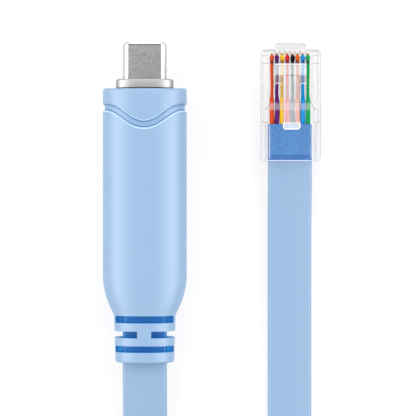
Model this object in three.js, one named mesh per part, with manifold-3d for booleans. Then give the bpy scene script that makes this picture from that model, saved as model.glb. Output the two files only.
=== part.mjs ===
// A console lead with a flat eight-core cable: a type-C adapter in a moulded housing at one end,
// a clear eight-way modular plug at the other, and the spare cable wound into a tied hank.
// Millimetres, +Z up. It lies on the floor at z = 0, with both ends pointing along +Y.
// The origin is on the floor, under the middle of the adapter.
import * as THREE from "three";
import { mergeVertices } from "three/addons/utils/BufferGeometryUtils.js";
import Module from "manifold-3d";

const wasm = await Module();
wasm.setup();

// Clearances between pieces.
const FIT_GAP = 0.05; // pieces that are pressed or moulded together
const SOFT_GAP = 0.3; // around the cable where something holds it

// Adapter housing, one moulding with its strain relief.
const HOUSING_WIDTH = 16.4;
const HOUSING_THICKNESS = 10.4;
const HOUSING_LENGTH = 44.35;
const OVAL_POWER = 2.4; // 2 is an ellipse, more is squarer
const RIM_RADIUS = 0.5;
const FRONT_DRAFT = 0.3; // how far the front face leans back at the top and at the bottom
const SHOULDER_LENGTH = 7.6;
const GROOVE_DEPTH = 0.36;
const GROOVE_WIDTH = 1.3;
const GROOVE_FROM_FRONT = 3.85; // to the groove's middle, at the sides
const WAVE_DROP = 3.4; // how much further back the groove runs at the middle of each face
const WAVE_REACH = 7.5; // from the middle to where the wave levels out

// Strain relief.
const RELIEF_LENGTH = 9.2;
const RELIEF_WIDTH = 12.05;
const RELIEF_THICKNESS = 8.6;
const RELIEF_END_WIDTH = 11.5;
const RELIEF_END_THICKNESS = 8.2;
const RELIEF_EDGE = 0.35;
const SLOT_WIDTHS = [1.4, 1.3, 1.25]; // the first and third cross the faces, the second comes in from the sides
const FACE_SLOT = { reach: 5.6, floor: 0.8 }; // its floor is over the middle plane
const SIDE_SLOT_WEB = 1.35; // half of the web that it leaves
const FIRST_SLOT_AT = 0.05; // from the relief's root
const RING_LENGTHS = [1.6, 1.55]; // between the slots
const BORE_DEPTH = 0.5; // how far the cable's bore runs on past the relief's root

// Type-C plug.
const SHELL_WIDTH = 8.5;
const SHELL_THICKNESS = 2.5;
const SHELL_WALL = 0.3;
const SHELL_REACH = 7.25;
const LINER_SLOT_WIDTH = 6.9;
const LINER_SLOT_HEIGHT = 1.1;
const LINER_SETBACK = 0.6;
const LINER_BACK = 1.6;
const DATA_CONTACT = { count: 12, pitch: 0.5, width: 0.25, thickness: 0.12, length: 4.2, setback: 0.7 };
const COLLAR_WIDTH = 11.2;
const COLLAR_THICKNESS = 5.6;
const COLLAR_REACH = 1.75;
const COLLAR_EDGE = 0.35;

// Flat cable.
const CABLE_WIDTH = 8.6;
const CABLE_THICKNESS = 2.5;
const CABLE_EDGE = 0.6;

// Modular plug, eight ways. It lies with its contacts down and its latch up.
const PLUG_ACROSS = 28.5; // its middle, from the adapter's middle
const PLUG_REAR = 7.9; // its rear face, along Y
const PLUG_WIDTH = 11.68;
const PLUG_LENGTH = 21.9;
const PLUG_FRONT_HEIGHT = 6.6;
const PLUG_REAR_HEIGHT = 8;
const PLUG_REAR_LENGTH = 10.4;
const PLUG_STEP = 1.1;
const PLUG_CORNER = 0.6;
const TOP_LINE = { width: 0.2, depth: 0.2 }; // a fine groove across the top, over the jacket's end
const NOSE_WIDTH = 6.1;
const NOSE_REACH = 1.2;
const NOSE_LENGTH = 3.6;
const NOSE_BOTTOM = 3.5;
const NOSE_RISE = 0.3;
const NOSE_CORNER = 0.6;
const WAYS = 8;
const WAY_PITCH = 1.016;
const WIRE_HEIGHT = 3.5;
const JACKET_HEIGHT = 3.3;
const JACKET_DEPTH = 7.4;
const WIRE_RADIUS = 0.475;
const WIRE_THIN_RADIUS = 0.31;
const WIRE_THIN_FROM = 12.8;
const WIRE_TAPER = 0.8;
const WIRE_END_SETBACK = 0.8;
const BLADE_THICKNESS = 0.35;
const BLADE_LENGTH = 6.2;
const BLADE_BOTTOM = 0.45;
const BLADE_NOSE = 0.8;
const BLADE_SETBACK = 0.4;
const BLADE_SLOT_WIDTH = 0.5;

// Latch, moulded with the plug. It bends at its root, next to the nose.
const LATCH_ROOT_HEIGHT = 5.75;
const LATCH_ROOT_THICKNESS = 1.15;
const LATCH_WIDE_LENGTH = 4.1; // root to the locking shoulders
const LATCH_RAMP_LENGTH = 2.3;
const LEVER_WIDTH = 3.3;
const LEVER_LENGTH = 13.15;
const LEVER_RISE = 4.55;
const LEVER_THICKNESS = 1.05;
const LEVER_PAD = { length: 1.6, thickness: 1.35, corner: 0.5 };
const LATCH_SIDE_GAP = 0.3;
const LATCH_RECESS_FLOOR = 5.4;
const LEVER_CHANNEL_FLOOR = 6.4;
const LEVER_CHANNEL_GAP = 0.4;
const LEVER_SWEEP = 1; // room behind the lever's end, which swings back as it is pressed

// Hank of spare cable. Its turns stand on edge, like tape on a roll.
const HANK_TURNS = 4.5;
const LANE_PITCH = 3.1;
const HANK_INNER_RADIUS = 17.6; // the last lane's middle
const HANK_ACROSS = 22;
const HANK_TOP = -103.7; // where the straight sides end, along Y
const HANK_STRAIGHT = 82;
const TIE_THICKNESS = 0.5;
const TIE_WIDTH = 5;
const TIE_GAP = 0.25;
const TIE_PLACE = 0.36; // share of the straight sides, from the top
const LIFT = TIE_THICKNESS + 0.1; // the hank lies on its ties

// Heights and lengths that follow from the sizes above.
const MID = HOUSING_THICKNESS / 2;
const ADAPTER_LENGTH = SHELL_REACH + COLLAR_REACH + HOUSING_LENGTH + RELIEF_LENGTH;
const TIP = ADAPTER_LENGTH / 2;
const COLLAR_FRONT = TIP - SHELL_REACH;
const HOUSING_FRONT = COLLAR_FRONT - COLLAR_REACH;
const RELIEF_ROOT = HOUSING_FRONT - HOUSING_LENGTH;
const RELIEF_END = RELIEF_ROOT - RELIEF_LENGTH;
const CABLE_START = RELIEF_ROOT + BORE_DEPTH - SOFT_GAP;
const HANK_OUTER_RADIUS = HANK_INNER_RADIUS + HANK_TURNS * LANE_PITCH;
const LATCH_ROOT = PLUG_LENGTH + NOSE_REACH - NOSE_LENGTH - SOFT_GAP;

const HOUSING_MATERIAL = new THREE.MeshStandardMaterial({ color: 0xa9caeb, roughness: 0.5, metalness: 0 });
const CABLE_MATERIAL = new THREE.MeshStandardMaterial({ color: 0x9fc0e2, roughness: 0.6, metalness: 0 });
const STEEL_MATERIAL = new THREE.MeshStandardMaterial({ color: 0xb4b4b8, roughness: 0.3, metalness: 1 });
const LINER_MATERIAL = new THREE.MeshStandardMaterial({ color: 0x1b1b1d, roughness: 0.6, metalness: 0 });
const GOLD_MATERIAL = new THREE.MeshStandardMaterial({ color: 0xd9a441, roughness: 0.25, metalness: 1 });
const CLEAR_MATERIAL = new THREE.MeshStandardMaterial({
  color: 0xf4f6f8,
  roughness: 0.05,
  metalness: 0,
  transparent: true,
  opacity: 0.3,
});
const TIE_MATERIAL = new THREE.MeshStandardMaterial({ color: 0x202124, roughness: 0.9, metalness: 0 });
const WIRE_COLOURS = [0xdd4a10, 0x6f1f86, 0xf2b705, 0xe02b1d, 0x151515, 0xe2701e, 0x0a86d8, 0x0a9a50];

// Geometry to solid and back, for the joins and cuts.
function solid(geometry) {
  const bare = geometry.index ? geometry.toNonIndexed() : geometry.clone();
  bare.deleteAttribute("normal");
  bare.deleteAttribute("uv");
  const merged = mergeVertices(bare, 1e-4);
  return new wasm.Manifold(
    new wasm.Mesh({
      numProp: 3,
      vertProperties: new Float32Array(merged.attributes.position.array),
      triVerts: new Uint32Array(merged.index.array),
    }),
  );
}

function surface(made) {
  const mesh = made.getMesh();
  const geometry = new THREE.BufferGeometry();
  geometry.setAttribute("position", new THREE.BufferAttribute(mesh.vertProperties, 3));
  geometry.setIndex(new THREE.BufferAttribute(mesh.triVerts, 1));
  geometry.computeVertexNormals();
  return geometry;
}

// A box by its ranges along x, y and z.
function block([x0, x1], [y0, y1], [z0, z1]) {
  const box = new THREE.BoxGeometry(x1 - x0, y1 - y0, z1 - z0);
  return box.translate((x0 + x1) / 2, (y0 + y1) / 2, (z0 + z1) / 2);
}

function roundedRectangle(width, height, radius) {
  const [x, y, r] = [width / 2, height / 2, Math.min(radius, width / 2 - 0.01, height / 2 - 0.01)];
  const shape = new THREE.Shape();
  shape.moveTo(-x + r, -y);
  shape.lineTo(x - r, -y);
  shape.absarc(x - r, -y + r, r, -Math.PI / 2, 0);
  shape.lineTo(x, y - r);
  shape.absarc(x - r, y - r, r, 0, Math.PI / 2);
  shape.lineTo(-x + r, y);
  shape.absarc(-x + r, y - r, r, Math.PI / 2, Math.PI);
  shape.lineTo(-x, -y + r);
  shape.absarc(-x + r, -y + r, r, Math.PI, Math.PI * 1.5);
  return shape;
}

// A shape drawn in x and z, run along Y from y0 to y1.
function alongY(shape, y0, y1, segments = 6) {
  const geometry = new THREE.ExtrudeGeometry(shape, {
    depth: y1 - y0,
    bevelEnabled: false,
    curveSegments: segments,
  });
  return geometry.rotateX(-Math.PI / 2).translate(0, y0, 0);
}

// A side view drawn in y and z, run across X, as wide as width.
function acrossX(shape, width, segments = 6) {
  const geometry = new THREE.ExtrudeGeometry(shape, {
    depth: width,
    bevelEnabled: false,
    curveSegments: segments,
  });
  const turn = new THREE.Matrix4().makeBasis(
    new THREE.Vector3(0, 1, 0),
    new THREE.Vector3(0, 0, 1),
    new THREE.Vector3(1, 0, 0),
  );
  return geometry.applyMatrix4(turn).translate(-width / 2, 0, 0);
}

// A plan drawn in x and y, run up Z from z0 to z1.
function upZ(shape, z0, z1, segments = 6) {
  const geometry = new THREE.ExtrudeGeometry(shape, {
    depth: z1 - z0,
    bevelEnabled: false,
    curveSegments: segments,
  });
  return geometry.translate(0, 0, z0);
}

function polygon(points) {
  return new THREE.Shape(points.map(([a, b]) => new THREE.Vector2(a, b)));
}

function piece(name, geometry, material) {
  const mesh = new THREE.Mesh(geometry, material);
  mesh.name = name;
  return mesh;
}

// A body with oval sections along Y. Each station is { y, width, thickness, lean }, from the rear to the front:
// lean is how far its top and its bottom lie back.
function ovalBody(stations, sides = 56) {
  const ends = [{ ...stations[0], width: 0 }, ...stations, { ...stations.at(-1), width: 0 }];
  const profile = ends.map(({ y, width }) => new THREE.Vector2(width / 2, y));
  const geometry = new THREE.LatheGeometry(profile, sides);
  const position = geometry.attributes.position;
  for (let i = 0; i < position.count; i++) {
    const { width, thickness, lean = 0 } = ends[i % ends.length];
    const turn = ((Math.floor(i / ends.length) % sides) / sides) * 2 * Math.PI;
    const bow = (value) => Math.sign(value) * Math.abs(value) ** (2 / OVAL_POWER);
    const high = width > 0 ? thickness / 2 : 0;
    const up = width > 0 ? bow(Math.cos(turn)) : 0;
    position.setXYZ(i, (width / 2) * bow(Math.sin(turn)), position.getY(i) - lean * Math.abs(up), high * up);
  }
  return geometry;
}

// How far the wavy groove runs back from its place at the sides, x from the middle of the face.
function wave(x) {
  return (WAVE_DROP * (1 + Math.cos((Math.PI * Math.min(Math.abs(x), WAVE_REACH)) / WAVE_REACH))) / 2;
}

// The groove's cutter: a wavy band through the housing, less the core that it leaves.
function grooveCutter() {
  const steps = 32;
  const reach = HOUSING_WIDTH / 2 + 1;
  const middle = HOUSING_FRONT - GROOVE_FROM_FRONT;
  const xs = Array.from({ length: steps + 1 }, (_, i) => -reach + (2 * reach * i) / steps);
  const front = xs.map((x) => [x, middle - wave(x) + GROOVE_WIDTH / 2]);
  const rear = xs.map((x) => [x, middle - wave(x) - GROOVE_WIDTH / 2]);
  const band = upZ(polygon([...rear, ...front.reverse()]), -MID - 1, MID + 1);
  const core = ovalBody([
    {
      y: middle - WAVE_DROP - 2 * GROOVE_WIDTH,
      width: HOUSING_WIDTH - 2 * GROOVE_DEPTH,
      thickness: HOUSING_THICKNESS - 2 * GROOVE_DEPTH,
    },
    {
      y: middle + 2 * GROOVE_WIDTH,
      width: HOUSING_WIDTH - 2 * GROOVE_DEPTH,
      thickness: HOUSING_THICKNESS - 2 * GROOVE_DEPTH,
    },
  ]);
  return solid(band).subtract(solid(core));
}

// Where the relief's slots start and end along Y, from the housing back: face, side, face.
function slotRanges() {
  const first = RELIEF_ROOT - FIRST_SLOT_AT;
  const second = first - SLOT_WIDTHS[0] - RING_LENGTHS[0];
  const third = second - SLOT_WIDTHS[1] - RING_LENGTHS[1];
  return [
    [first - SLOT_WIDTHS[0], first],
    [second - SLOT_WIDTHS[1], second],
    [third - SLOT_WIDTHS[2], third],
  ];
}

// The housing and its strain relief, as one moulding around the cable.
function housing() {
  const stations = [];
  const reliefTaper = (share) => ({
    width: THREE.MathUtils.lerp(RELIEF_END_WIDTH, RELIEF_WIDTH, share),
    thickness: THREE.MathUtils.lerp(RELIEF_END_THICKNESS, RELIEF_THICKNESS, share),
  });
  const endFace = reliefTaper(0);
  stations.push({
    y: RELIEF_END,
    width: endFace.width - 2 * RELIEF_EDGE,
    thickness: endFace.thickness - 2 * RELIEF_EDGE,
  });
  stations.push({ y: RELIEF_END + RELIEF_EDGE, ...endFace });
  stations.push({ y: RELIEF_ROOT, ...reliefTaper(1) });
  const shoulderSteps = 8;
  for (let i = 1; i <= shoulderSteps; i++) {
    const share = i / shoulderSteps;
    const swell = 1 - (1 - share) ** 1.9;
    stations.push({
      y: RELIEF_ROOT + SHOULDER_LENGTH * share,
      width: THREE.MathUtils.lerp(RELIEF_WIDTH, HOUSING_WIDTH, swell),
      thickness: THREE.MathUtils.lerp(RELIEF_THICKNESS, HOUSING_THICKNESS, swell),
    });
  }
  const rimSteps = 4;
  for (let i = 0; i <= rimSteps; i++) {
    const turn = ((Math.PI / 2) * i) / rimSteps;
    const inset = 2 * RIM_RADIUS * (1 - Math.cos(turn));
    stations.push({
      y: HOUSING_FRONT - RIM_RADIUS * (1 - Math.sin(turn)),
      width: HOUSING_WIDTH - inset,
      thickness: HOUSING_THICKNESS - inset,
      lean: FRONT_DRAFT,
    });
  }
  const boreWide = CABLE_WIDTH / 2 + SOFT_GAP;
  const boreHigh = CABLE_THICKNESS / 2 + SOFT_GAP;
  const out = HOUSING_WIDTH;
  let body = solid(ovalBody(stations)).subtract(grooveCutter());
  body = body.subtract(
    solid(block([-boreWide, boreWide], [RELIEF_END - 1, RELIEF_ROOT + BORE_DEPTH], [-boreHigh, boreHigh])),
  );
  const [near, sides, far] = slotRanges();
  for (const range of [near, far]) {
    for (const face of [-1, 1]) {
      const high = [face * FACE_SLOT.floor, face * out].sort((a, b) => a - b);
      body = body.subtract(solid(block([-FACE_SLOT.reach, FACE_SLOT.reach], range, high)));
    }
  }
  for (const side of [-1, 1]) {
    const wide = [side * SIDE_SLOT_WEB, side * out].sort((a, b) => a - b);
    body = body.subtract(solid(block(wide, sides, [-out, out])));
  }
  return surface(body);
}

// The stamped shell of the type-C plug: a tube with round sides and a rolled mouth.
function plugShell() {
  const outer = roundedRectangle(SHELL_WIDTH, SHELL_THICKNESS, SHELL_THICKNESS / 2);
  const inner = roundedRectangle(
    SHELL_WIDTH - 2 * SHELL_WALL,
    SHELL_THICKNESS - 2 * SHELL_WALL,
    SHELL_THICKNESS / 2 - SHELL_WALL,
  );
  outer.holes.push(inner);
  return alongY(outer, HOUSING_FRONT + SOFT_GAP, TIP, 8);
}

// The moulded liner inside the shell, with the slot that takes the socket's tongue.
function plugLiner() {
  const wide = SHELL_WIDTH - 2 * (SHELL_WALL + FIT_GAP);
  const high = SHELL_THICKNESS - 2 * (SHELL_WALL + FIT_GAP);
  const body = alongY(roundedRectangle(wide, high, high / 2), HOUSING_FRONT + SOFT_GAP, TIP - LINER_SETBACK, 8);
  const slot = block(
    [-LINER_SLOT_WIDTH / 2, LINER_SLOT_WIDTH / 2],
    [HOUSING_FRONT + LINER_BACK, TIP],
    [-LINER_SLOT_HEIGHT / 2, LINER_SLOT_HEIGHT / 2],
  );
  return surface(solid(body).subtract(solid(slot)));
}

// The collar around the root of the shell, which seats against the socket's face.
function collar() {
  const ringWidth = SHELL_WIDTH + 2 * FIT_GAP;
  const ringHeight = SHELL_THICKNESS + 2 * FIT_GAP;
  const rear = HOUSING_FRONT + FIT_GAP;
  const stadium = (inset) =>
    roundedRectangle(COLLAR_WIDTH - 2 * inset, COLLAR_THICKNESS - 2 * inset, COLLAR_THICKNESS / 2 - inset);
  const body = solid(alongY(stadium(0), rear, COLLAR_FRONT - COLLAR_EDGE, 10));
  const lip = solid(alongY(stadium(COLLAR_EDGE / 2), COLLAR_FRONT - COLLAR_EDGE, COLLAR_FRONT, 10));
  const hole = alongY(roundedRectangle(ringWidth, ringHeight, ringHeight / 2), rear - 1, COLLAR_FRONT + 1, 8);
  return surface(body.add(lip).subtract(solid(hole)));
}

function plugContact(index, face) {
  const { count, pitch, width, thickness, length, setback } = DATA_CONTACT;
  const across = (index - (count - 1) / 2) * pitch;
  const seat = LINER_SLOT_HEIGHT / 2 - FIT_GAP;
  const front = TIP - LINER_SETBACK - setback;
  const high = [face * seat, face * (seat - thickness)].sort((a, b) => a - b);
  return block([across - width / 2, across + width / 2], [front - length, front], high);
}

// The clear body of the modular plug, its rear at y = 0 and its contact side at z = 0.
function plugBody() {
  const half = PLUG_WIDTH / 2;
  const side = polygon([
    [0, 0],
    [PLUG_LENGTH, 0],
    [PLUG_LENGTH, PLUG_FRONT_HEIGHT],
    [PLUG_REAR_LENGTH + PLUG_STEP, PLUG_FRONT_HEIGHT],
    [PLUG_REAR_LENGTH, PLUG_REAR_HEIGHT],
    [0, PLUG_REAR_HEIGHT],
  ]);
  const plan = roundedRectangle(PLUG_WIDTH, PLUG_LENGTH, PLUG_CORNER);
  const planSolid = solid(upZ(plan, -1, PLUG_REAR_HEIGHT + 1).translate(0, PLUG_LENGTH / 2, 0));
  let body = solid(acrossX(side, PLUG_WIDTH)).intersect(planSolid);
  const nose = roundedRectangle(NOSE_WIDTH, NOSE_LENGTH, NOSE_CORNER);
  const noseMiddle = PLUG_LENGTH + NOSE_REACH - NOSE_LENGTH / 2;
  const noseTop = PLUG_FRONT_HEIGHT + NOSE_RISE;
  body = body.add(solid(upZ(nose, NOSE_BOTTOM, noseTop).translate(0, noseMiddle, 0)));
  const noseRear = PLUG_LENGTH + NOSE_REACH - NOSE_LENGTH;
  const recess = NOSE_WIDTH / 2 + LATCH_SIDE_GAP;
  const channel = LEVER_WIDTH / 2 + LEVER_CHANNEL_GAP;
  const recessRear = PLUG_REAR_LENGTH + PLUG_STEP;
  const leverEnd = LATCH_ROOT - LEVER_LENGTH;
  const over = PLUG_REAR_HEIGHT + 2;
  const wires = ((WAYS - 1) / 2) * WAY_PITCH;
  const jacket = CABLE_WIDTH / 2 + SOFT_GAP;
  const jacketHigh = CABLE_THICKNESS / 2 + SOFT_GAP;
  const thin = WIRE_THIN_RADIUS + SOFT_GAP / 2;
  const thick = WIRE_RADIUS + SOFT_GAP / 2;
  const wireEnd = PLUG_LENGTH - WIRE_END_SETBACK + FIT_GAP;
  const bladeFront = PLUG_LENGTH - BLADE_SETBACK;
  const cuts = [
    block([-recess, recess], [recessRear, noseRear], [LATCH_RECESS_FLOOR, over]),
    block([-channel, channel], [leverEnd - LEVER_SWEEP, recessRear], [LEVER_CHANNEL_FLOOR, over]),
    block([-jacket, jacket], [-1, JACKET_DEPTH + SOFT_GAP], [JACKET_HEIGHT - jacketHigh, JACKET_HEIGHT + jacketHigh]),
    block([-wires - thick, wires + thick], [JACKET_DEPTH, WIRE_THIN_FROM], [WIRE_HEIGHT - thick, WIRE_HEIGHT + thick]),
    block([-wires - thin, wires + thin], [JACKET_DEPTH, wireEnd], [WIRE_HEIGHT - thin, WIRE_HEIGHT + thin]),
  ];
  for (const side of [-1, 1]) {
    const wide = [side * jacket, side * PLUG_WIDTH].sort((a, b) => a - b);
    const long = [JACKET_DEPTH + SOFT_GAP - TOP_LINE.width, JACKET_DEPTH + SOFT_GAP];
    cuts.push(block(wide, long, [PLUG_REAR_HEIGHT - TOP_LINE.depth, over]));
  }
  for (let i = 0; i < WAYS; i++) {
    const x = i * WAY_PITCH - wires;
    cuts.push(
      block(
        [x - BLADE_SLOT_WIDTH / 2, x + BLADE_SLOT_WIDTH / 2],
        [bladeFront - BLADE_LENGTH - FIT_GAP, half + PLUG_LENGTH],
        [-1, WIRE_HEIGHT - thin + FIT_GAP],
      ),
    );
  }
  for (const cut of cuts) body = body.subtract(solid(cut));
  return surface(body);
}

// The latch from its root to its thumb pad, in the plug's own place.
function latch() {
  const under = (back) => LATCH_ROOT_HEIGHT + (LEVER_RISE * back) / LEVER_LENGTH;
  const wideEnd = LATCH_WIDE_LENGTH;
  const wide = polygon([
    [LATCH_ROOT, under(0)],
    [LATCH_ROOT, under(0) + LATCH_ROOT_THICKNESS],
    [LATCH_ROOT - LATCH_RAMP_LENGTH, under(LATCH_RAMP_LENGTH) + 1.35 * LEVER_THICKNESS],
    [LATCH_ROOT - wideEnd, under(wideEnd) + 1.15 * LEVER_THICKNESS],
    [LATCH_ROOT - wideEnd, under(wideEnd)],
  ]);
  const padStart = LEVER_LENGTH - LEVER_PAD.length;
  const lever = polygon([
    [LATCH_ROOT - LATCH_RAMP_LENGTH / 2, under(LATCH_RAMP_LENGTH / 2)],
    [LATCH_ROOT - LATCH_RAMP_LENGTH, under(LATCH_RAMP_LENGTH) + 1.5 * LEVER_THICKNESS],
    [LATCH_ROOT - wideEnd, under(wideEnd) + 1.5 * LEVER_THICKNESS],
    [LATCH_ROOT - padStart, under(padStart) + LEVER_THICKNESS],
    [LATCH_ROOT - padStart, under(padStart) + LEVER_PAD.thickness],
    [LATCH_ROOT - LEVER_LENGTH, under(LEVER_LENGTH) + LEVER_PAD.thickness],
    [LATCH_ROOT - LEVER_LENGTH, under(LEVER_LENGTH)],
  ]);
  const leverPlan = roundedRectangle(LEVER_WIDTH, LEVER_LENGTH, LEVER_PAD.corner);
  const rounded = upZ(leverPlan, 0, 2 * PLUG_REAR_HEIGHT).translate(0, LATCH_ROOT - LEVER_LENGTH / 2, 0);
  const narrow = solid(acrossX(lever, LEVER_WIDTH)).intersect(solid(rounded));
  return surface(solid(acrossX(wide, NOSE_WIDTH)).add(narrow));
}

// One insulated core, from the jacket's end to the front of the plug: thinner where its own groove holds it.
function wire() {
  const rear = JACKET_DEPTH + FIT_GAP;
  const front = PLUG_LENGTH - WIRE_END_SETBACK;
  const profile = [
    [0, rear],
    [WIRE_RADIUS, rear],
    [WIRE_RADIUS, WIRE_THIN_FROM - WIRE_TAPER],
    [WIRE_THIN_RADIUS, WIRE_THIN_FROM],
    [WIRE_THIN_RADIUS, front],
    [0, front],
  ].map(([radius, y]) => new THREE.Vector2(radius, y));
  return new THREE.LatheGeometry(profile, 12);
}

// One contact blade, seen from the side: its lower front corner is the round nose that meets the socket's spring.
function blade() {
  const front = PLUG_LENGTH - BLADE_SETBACK;
  const rear = front - BLADE_LENGTH;
  const top = WIRE_HEIGHT - WIRE_THIN_RADIUS - 2 * FIT_GAP;
  const shape = new THREE.Shape();
  shape.moveTo(rear, BLADE_BOTTOM);
  shape.lineTo(front - BLADE_NOSE, BLADE_BOTTOM);
  shape.absarc(front - BLADE_NOSE, BLADE_BOTTOM + BLADE_NOSE, BLADE_NOSE, -Math.PI / 2, 0);
  shape.lineTo(front, top);
  shape.lineTo(rear, top);
  return acrossX(shape, BLADE_THICKNESS, 5);
}

// A point of the wound cable, turns from where the outermost lane starts: down the left side,
// round the lower end, up the right side and round the upper end, one lane further in each turn.
function windingPoint(turns) {
  const lap = Math.floor(turns);
  const quarter = Math.min(Math.floor((turns - lap) * 4), 3);
  const share = (turns - lap) * 4 - quarter;
  const sides = 2 * lap + Math.ceil(quarter / 2);
  const easing = quarter % 2 === 0 ? share * share * (3 - 2 * share) : 0;
  const radius = HANK_OUTER_RADIUS - (LANE_PITCH / 2) * (sides + easing);
  const lower = HANK_TOP - HANK_STRAIGHT;
  if (quarter === 0) return [HANK_ACROSS - radius, HANK_TOP - HANK_STRAIGHT * share];
  if (quarter === 2) return [HANK_ACROSS + radius, lower + HANK_STRAIGHT * share];
  const turn = Math.PI * share + (quarter === 1 ? Math.PI : 0);
  return [HANK_ACROSS + radius * Math.cos(turn), (quarter === 1 ? lower : HANK_TOP) + radius * Math.sin(turn)];
}

// One lap of the winding as an outline, set off by half a cable's thickness towards the outside or the inside.
function lapOutline(start, outwards) {
  const steps = 88;
  const points = [];
  for (let i = 0; i <= steps; i++) {
    const here = windingPoint(start + (i / steps) * 0.9999);
    const next = windingPoint(start + (i / steps) * 0.9999 + 1e-4);
    const [dx, dy] = [next[0] - here[0], next[1] - here[1]];
    const scale = (outwards * CABLE_THICKNESS) / 2 / Math.hypot(dx, dy);
    points.push([here[0] + dy * scale, here[1] - dx * scale]);
  }
  return points;
}

// The hank's outer shape: from its outermost lane to its innermost.
function hank() {
  const shape = polygon(lapOutline(0, 1));
  shape.holes.push(polygon(lapOutline(HANK_TURNS - 1, -1)));
  return upZ(shape, LIFT, LIFT + CABLE_WIDTH);
}

// A strap around the lanes on one side of the hank.
function tie(side) {
  const y = HANK_TOP - HANK_STRAIGHT * TIE_PLACE;
  const first = side < 0 ? TIE_PLACE / 4 : (3 - TIE_PLACE) / 4;
  const laps = side < 0 ? HANK_TURNS - 0.5 : HANK_TURNS - 1.5;
  const outer = windingPoint(first)[0] + (side * CABLE_THICKNESS) / 2;
  const inner = windingPoint(first + laps)[0] - (side * CABLE_THICKNESS) / 2;
  const wide = Math.abs(outer - inner) + 2 * TIE_GAP;
  const high = CABLE_WIDTH + 2 * (LIFT - TIE_THICKNESS);
  const shape = roundedRectangle(wide + 2 * TIE_THICKNESS, high + 2 * TIE_THICKNESS, 2 * TIE_THICKNESS);
  shape.holes.push(roundedRectangle(wide, high, TIE_THICKNESS));
  return alongY(shape, y - TIE_WIDTH / 2, y + TIE_WIDTH / 2, 3).translate((outer + inner) / 2, 0, high / 2 + TIE_THICKNESS);
}

// The middle of a stretch of flat cable, and how it is turned about its own line at each point:
// tilt 0 lies flat, tilt 90 stands on edge. Each row is [x, y, height of its lowest edge, tilt].
class CableRoute extends THREE.CatmullRomCurve3 {
  constructor(rows) {
    super(
      rows.map(([x, y, lowest, tilt]) => {
        const turn = THREE.MathUtils.degToRad(tilt);
        const half = (CABLE_WIDTH * Math.sin(turn) + CABLE_THICKNESS * Math.cos(turn)) / 2;
        return new THREE.Vector3(x, y, lowest + half);
      }),
      false,
      "centripetal",
    );
    this.tilts = rows.map((row) => THREE.MathUtils.degToRad(row[3]));
  }

  tiltAt(u) {
    const place = this.getUtoTmapping(u) * (this.tilts.length - 1);
    const before = Math.min(Math.floor(place), this.tilts.length - 2);
    return THREE.MathUtils.lerp(this.tilts[before], this.tilts[before + 1], place - before);
  }

  computeFrenetFrames(segments) {
    const frames = { tangents: [], normals: [], binormals: [] };
    for (let i = 0; i <= segments; i++) {
      const along = this.getTangentAt(i / segments);
      const level = new THREE.Vector3(along.y, -along.x, 0).normalize();
      const across = level.applyAxisAngle(along, this.tiltAt(i / segments));
      frames.tangents.push(along);
      frames.normals.push(across);
      frames.binormals.push(new THREE.Vector3().crossVectors(along, across));
    }
    return frames;
  }
}

function cableStretch(rows, steps) {
  const section = roundedRectangle(CABLE_WIDTH, CABLE_THICKNESS, CABLE_EDGE);
  return new THREE.ExtrudeGeometry(section, {
    steps,
    curveSegments: 2,
    bevelEnabled: false,
    extrudePath: new CableRoute(rows),
  });
}

// From inside the strain relief, down to the floor, up on edge and into the hank's outermost lane.
const RELIEF_LOW = MID - CABLE_THICKNESS / 2;
const ADAPTER_LEAD = [
  [0, CABLE_START, RELIEF_LOW, 0],
  [0, -27, RELIEF_LOW, 0],
  [0, RELIEF_END, RELIEF_LOW, 0],
  [0, -36, 3.5, 0],
  [0, -42, 2.1, 0],
  [0, -48, 0.75, 0],
  [0, -54, 0.15, 1],
  [0, -60, 0.1, 6],
  [-0.4, -66, 0.1, 20],
  [-1.4, -72, 0.1, 38],
  [-3.1, -78, 0.15, 56],
  [-5.1, -84, 0.25, 72],
  [-7.1, -90, 0.4, 84],
  [-8.7, -96, 0.55, 90],
  [-9.4, -100.5, LIFT, 90],
  [-9.55, HANK_TOP + SOFT_GAP, LIFT, 90],
];

// From the hank's innermost lane, up over its turns, down to the floor and into the modular plug.
const HANK_BOTTOM = HANK_TOP - HANK_STRAIGHT;
const PLUG_LOW = JACKET_HEIGHT - CABLE_THICKNESS / 2;
const OVER_HANK = LIFT + CABLE_WIDTH + SOFT_GAP;
const PLUG_LEAD = [
  [39.6, HANK_BOTTOM + SOFT_GAP, LIFT, 90],
  [39.4, HANK_BOTTOM + 7, LIFT, 90],
  [38.7, HANK_BOTTOM + 15, LIFT, 90],
  [37.4, HANK_BOTTOM + 23, 0.5, 90],
  [35.6, HANK_BOTTOM + 31, 0.6, 88],
  [33.6, HANK_BOTTOM + 39, 0.9, 82],
  [31.7, HANK_BOTTOM + 47, 1.5, 70],
  [30.1, HANK_BOTTOM + 55, 2.7, 53],
  [29.1, HANK_BOTTOM + 63, 4.4, 34],
  [28.5, HANK_BOTTOM + 71, 6.4, 16],
  [28.25, HANK_BOTTOM + 79, 8.2, 4],
  [PLUG_ACROSS, -97, 9.4, 0],
  [PLUG_ACROSS, -91, OVER_HANK + 0.2, 0],
  [PLUG_ACROSS, -82, OVER_HANK + 0.25, 0],
  [PLUG_ACROSS, -74, OVER_HANK + 0.1, 0],
  [PLUG_ACROSS, -67, 7.9, 0],
  [PLUG_ACROSS, -60, 4.8, 0],
  [PLUG_ACROSS, -53, 1.9, 0],
  [PLUG_ACROSS, -46, 0.45, 0],
  [PLUG_ACROSS, -38, 0.1, 0],
  [PLUG_ACROSS, -24, 0.1, 0],
  [PLUG_ACROSS, -12, 0.1, 0],
  [PLUG_ACROSS, -4, 0.5, 0],
  [PLUG_ACROSS, 2.5, 1.6, 0],
  [PLUG_ACROSS, PLUG_REAR, PLUG_LOW, 0],
  [PLUG_ACROSS, PLUG_REAR + JACKET_DEPTH, PLUG_LOW, 0],
];

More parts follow.
